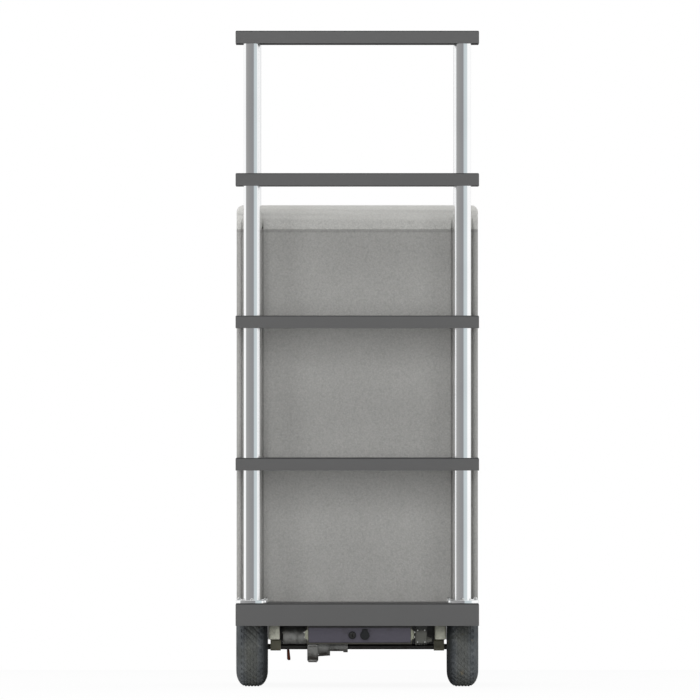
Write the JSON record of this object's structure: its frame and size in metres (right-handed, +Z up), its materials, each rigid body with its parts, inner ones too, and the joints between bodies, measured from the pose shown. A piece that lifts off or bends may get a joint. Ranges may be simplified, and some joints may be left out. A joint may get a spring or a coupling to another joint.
{
  "type": "electric moving cart",
  "caption": "Battery-driven moving cart with an open shelf rack on chrome posts, a lidded bin behind it, drive wheels in front, swivel casters and a push handle.",
  "frame": {"origin": "on the floor under the middle of the cart's outer box", "axes": "+Z up; -Y is the rack end that the picture shows, +Y the handle end; +X to the right of someone who looks at the rack end"},
  "size_m": [0.66, 1, 1.78],
  "materials": {
    "grey_steel": "satin dark grey powder coat",
    "chrome": "polished chrome",
    "zinc": "dull zinc plate",
    "bin_plastic": "fine orange-peel grain, warm mid grey",
    "tyre_rubber": "matt black with diagonal tread",
    "cast_metal": "as-cast grey",
    "motor_paint": "dark grey enamel",
    "box_paint": "satin purple-grey",
    "black_plastic": "moulded black",
    "red_plastic": "dull red",
    "dark_steel": "oiled dark steel",
    "display_glass": "clear gloss over a dark screen"
  },
  "bodies": {
    "cart": {"deck": "grey_steel", "left_rail": "grey_steel", "right_rail": "grey_steel", "caster_beam": "grey_steel", "front_left_post": "chrome", "front_right_post": "chrome", "rear_left_post": "chrome", "rear_right_post": "chrome", "front_left_post_flange": "chrome", "front_right_post_flange": "chrome", "rear_left_post_flange": "chrome", "rear_right_post_flange": "chrome", "lower_shelf": "grey_steel", "middle_shelf": "grey_steel", "upper_shelf": "grey_steel", "top_shelf": "grey_steel", "storage_bin": "bin_plastic", "lid_hinge_pin": "zinc", "left_shaft_hanger": "zinc", "right_shaft_hanger": "zinc", "left_bearing_block": "zinc", "right_bearing_block": "zinc", "gear_case": "cast_metal", "drive_motor": "motor_paint", "motor_saddle": "zinc", "battery_box": "box_paint", "battery": "black_plastic", "key_switch": "black_plastic", "charging_socket": "black_plastic", "motor_controller": "cast_metal", "left_caster_plate": "zinc", "right_caster_plate": "zinc", "left_handle_foot": "grey_steel", "right_handle_foot": "grey_steel", "push_handle": "grey_steel", "left_grip": "black_plastic", "right_grip": "black_plastic", "control_head": "black_plastic", "display": "display_glass", "battery_strap": "zinc", "drive_channel": "grey_steel"},
    "lid": {"bin_lid": "bin_plastic"},
    "left_wheel": {"left_drive_tyre": "tyre_rubber", "left_drive_rim": "grey_steel", "left_wheel_shaft": "dark_steel"},
    "right_wheel": {"right_drive_tyre": "tyre_rubber", "right_drive_rim": "grey_steel", "right_wheel_shaft": "dark_steel"},
    "brake_lever": {"brake_release_lever": "red_plastic"},
    "key": {"key_rotor": "dark_steel"},
    "cap": {"charging_cap": "black_plastic"},
    "left_swivel": {"left_caster_fork": "zinc"},
    "right_swivel": {"right_caster_fork": "zinc"},
    "left_caster_wheel": {"left_caster_tyre": "tyre_rubber", "left_caster_hub": "black_plastic"},
    "right_caster_wheel": {"right_caster_tyre": "tyre_rubber", "right_caster_hub": "black_plastic"},
    "throttle": {"throttle_lever": "black_plastic"},
    "stop": {"stop_button": "red_plastic"},
    "rocker": {"direction_rocker": "black_plastic"}
  },
  "joints": [
    {"name": "lid_hinge", "type": "hinge", "parent": "cart", "child": "lid", "pos_m": [0, 0.328, 1.24415], "axis": [-1, 0, 0], "range_deg": [0, 105]},
    {"name": "left_wheel_spin", "type": "hinge", "parent": "cart", "child": "left_wheel", "pos_m": [-0.286, -0.272, 0.108], "axis": [1, 0, 0], "continuous": true},
    {"name": "right_wheel_spin", "type": "hinge", "parent": "cart", "child": "right_wheel", "pos_m": [0.286, -0.272, 0.108], "axis": [1, 0, 0], "continuous": true},
    {"name": "brake_release", "type": "hinge", "parent": "cart", "child": "brake_lever", "pos_m": [-0.1885, -0.227, 0.1045], "axis": [0, 1, 0], "range_deg": [0, 12], "stiffness_Nm_per_rad": 0.05, "springref_deg": -11.46},
    {"name": "key_turn", "type": "hinge", "parent": "cart", "child": "key", "pos_m": [-0.0136, -0.49, 0.1415], "axis": [0, 1, 0], "range_deg": [0, 90]},
    {"name": "charging_cap_hinge", "type": "hinge", "parent": "cart", "child": "cap", "pos_m": [0.0206, -0.49185, 0.1565], "axis": [-1, 0, 0], "range_deg": [0, 90]},
    {"name": "left_caster_swivel", "type": "hinge", "parent": "cart", "child": "left_swivel", "pos_m": [-0.285, 0.27, 0.165], "axis": [0, 0, 1], "continuous": true},
    {"name": "right_caster_swivel", "type": "hinge", "parent": "cart", "child": "right_swivel", "pos_m": [0.285, 0.27, 0.165], "axis": [0, 0, 1], "continuous": true},
    {"name": "left_caster_spin", "type": "hinge", "parent": "left_swivel", "child": "left_caster_wheel", "pos_m": [-0.285, 0.315, 0.075], "axis": [1, 0, 0], "continuous": true},
    {"name": "right_caster_spin", "type": "hinge", "parent": "right_swivel", "child": "right_caster_wheel", "pos_m": [0.285, 0.315, 0.075], "axis": [1, 0, 0], "continuous": true},
    {"name": "throttle_push", "type": "hinge", "parent": "cart", "child": "throttle", "pos_m": [0.063, 0.48, 1.01], "axis": [-1, 0, 0], "range_deg": [0, 30], "stiffness_Nm_per_rad": 0.1, "springref_deg": -5.73},
    {"name": "stop_press", "type": "slide", "parent": "cart", "child": "stop", "axis": [0, -0.2922, -0.9564], "range_m": [0, 0.004]},
    {"name": "direction_tilt", "type": "hinge", "parent": "cart", "child": "rocker", "pos_m": [-0.038, 0.4533, 1.03806], "axis": [1, 0, 0], "range_deg": [-10, 10]}
  ]
}
